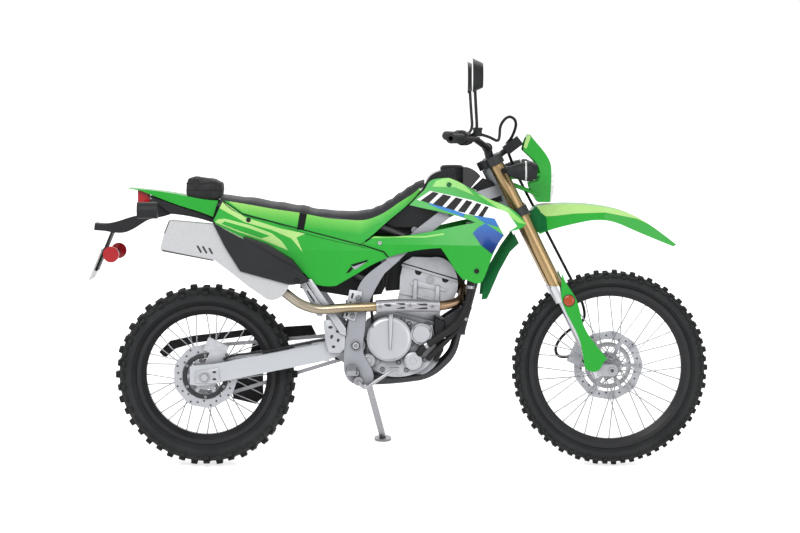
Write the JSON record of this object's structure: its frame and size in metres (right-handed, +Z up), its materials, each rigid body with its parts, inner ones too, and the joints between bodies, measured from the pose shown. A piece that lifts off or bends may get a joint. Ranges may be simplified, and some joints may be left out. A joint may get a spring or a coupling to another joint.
{
  "type": "dual sport motorcycle",
  "caption": "Dual sport motorcycle with knobbly spoked wheels, inverted fork, light green plastic body and right-side muffler, parked leaning on its side stand.",
  "frame": {"origin": "on the floor, at the middle of the whole machine's box in X and Y", "axes": "+X forward along the machine, +Y to the rider's left, +Z up; the machine leans 10 degrees towards +Y on its side stand"},
  "size_m": [2.1097, 0.8352, 1.4244],
  "materials": {
    "engine_black": "dark painted engine castings",
    "aluminium": "cast and machined aluminium, satin",
    "black_metal": "black painted metal",
    "header_bronze": "heat tinted stainless steel",
    "steel": "bare steel",
    "green_plastic": "glossy moulded light green plastic",
    "chrome": "hard chromed steel",
    "gold_anodised": "gold anodised aluminium",
    "grey_frame": "silver grey painted steel frame",
    "black_plastic": "black moulded plastic, slightly grained",
    "tyre": "black knobbly tyre rubber",
    "rubber": "black rubber",
    "clear_lens": "clear lens",
    "instrument": "instrument case with window",
    "plate_metal": "blank plate, white painted",
    "red_lens": "red lens",
    "black_vinyl": "black grained seat vinyl",
    "bag_fabric": "black woven bag fabric"
  },
  "bodies": {
    "frame": {"crankcase": "engine_black", "cylinder": "aluminium", "cylinder_head": "engine_black", "engine_hangers": "black_metal", "exhaust_header": "header_bronze", "final_drive": "steel", "foot_levers": "steel", "frame_beams": "grey_frame", "frame_cradle": "grey_frame", "fuel_cap": "black_plastic", "fuel_tank": "black_plastic", "header_shield": "steel", "inner_fender": "black_plastic", "muffler": "steel", "muffler_guard": "black_plastic", "number_plate": "plate_metal", "pivot_plates": "grey_frame", "plate_holder": "black_plastic", "radiators": "aluminium", "rear_axle": "steel", "rear_caliper": "aluminium", "rear_red_lamps": "red_lens", "rear_shock": "black_metal", "rear_signals": "black_plastic", "rider_pegs": "steel", "seat": "black_vinyl", "shock_linkage": "steel", "side_covers": "green_plastic", "subframe": "black_metal", "swingarm": "aluminium", "tail_fender": "green_plastic", "tank_shrouds": "green_plastic", "tool_bag": "bag_fabric"},
    "steering": {"fork_guards": "green_plastic", "fork_lowers": "chrome", "fork_outer_tubes": "gold_anodised", "front_axle": "steel", "front_caliper": "aluminium", "front_fender": "green_plastic", "front_signals": "black_plastic", "hand_controls": "rubber", "handlebar": "black_metal", "headlamp": "clear_lens", "headlight_cowl": "green_plastic", "meter": "instrument", "mirrors": "black_plastic", "triple_clamps": "aluminium"},
    "front_wheel": {"front_brake_disc": "steel", "front_hub_and_spokes": "steel", "front_rim": "black_metal", "front_tyre": "tyre"},
    "rear_wheel": {"rear_brake_disc": "steel", "rear_hub_and_spokes": "steel", "rear_rim": "black_metal", "rear_sprocket": "steel", "rear_tyre": "tyre"},
    "side_stand": {"side_stand": "steel"}
  },
  "joints": [
    {"name": "steering", "type": "hinge", "parent": "frame", "child": "steering", "pos_m": [0.4055, -0.06277, 0.81299], "axis": [-0.4415, 0.1558, 0.8836], "range_deg": [-42, 42]},
    {"name": "front_wheel_spin", "type": "hinge", "parent": "steering", "child": "front_wheel", "pos_m": [0.7205, -0.14765, 0.33162], "axis": [0, 0.9848, -0.1736], "continuous": true},
    {"name": "rear_wheel_spin", "type": "hinge", "parent": "frame", "child": "rear_wheel", "pos_m": [-0.6595, -0.15182, 0.30798], "axis": [0, 0.9848, -0.1736], "continuous": true},
    {"name": "side_stand_fold", "type": "hinge", "parent": "frame", "child": "side_stand", "pos_m": [-0.116, -0.00491, 0.26583], "axis": [0.175, 0.9155, 0.3623], "range_deg": [0, 107.5]}
  ]
}
